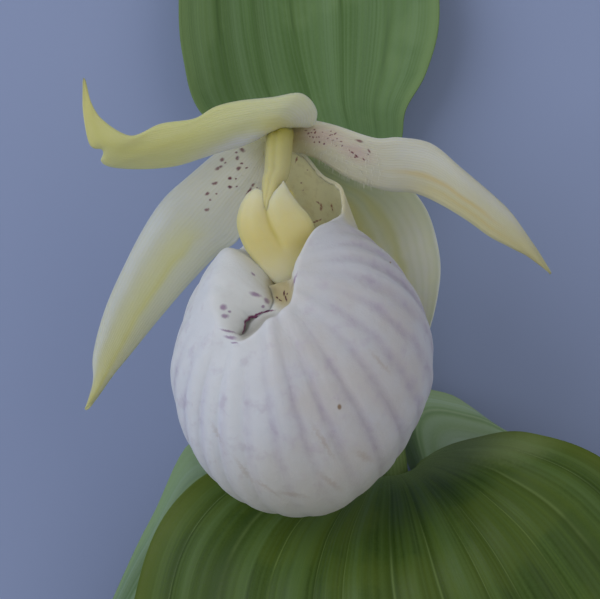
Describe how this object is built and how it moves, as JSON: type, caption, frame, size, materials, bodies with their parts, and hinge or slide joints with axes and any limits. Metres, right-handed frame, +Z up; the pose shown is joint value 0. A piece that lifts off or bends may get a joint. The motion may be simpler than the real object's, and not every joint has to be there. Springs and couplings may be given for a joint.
{
  "type": "cypripedium orchid",
  "caption": "Cut flowering shoot of a slipper orchid lying on its back: pleated leaves round a short stem, a bract, and a flower with an inflated white lip.",
  "frame": {"origin": "on the surface that the shoot lies on, under the middle of its bounding box", "axes": "+Y from the cut end of the stem towards the flower and bract, +Z up out of the surface, which is the way the flower faces"},
  "size_m": [0.1741, 0.256, 0.0641],
  "materials": {
    "leaf": "satin",
    "bract": "satin",
    "stem": "satin",
    "sepal": "satin",
    "petal": "satin",
    "lip": "satin",
    "column": "satin"
  },
  "bodies": {
    "root": {"stem": "stem", "ovary": "stem", "leaf_front": "leaf", "leaf_right": "leaf", "leaf_left": "leaf", "bract": "bract", "dorsal_sepal": "sepal", "synsepal": "sepal", "petal_left": "petal", "petal_right": "petal", "lip": "lip", "column": "column", "staminode": "column", "anther_left": "column", "anther_right": "column"}
  },
  "joints": []
}
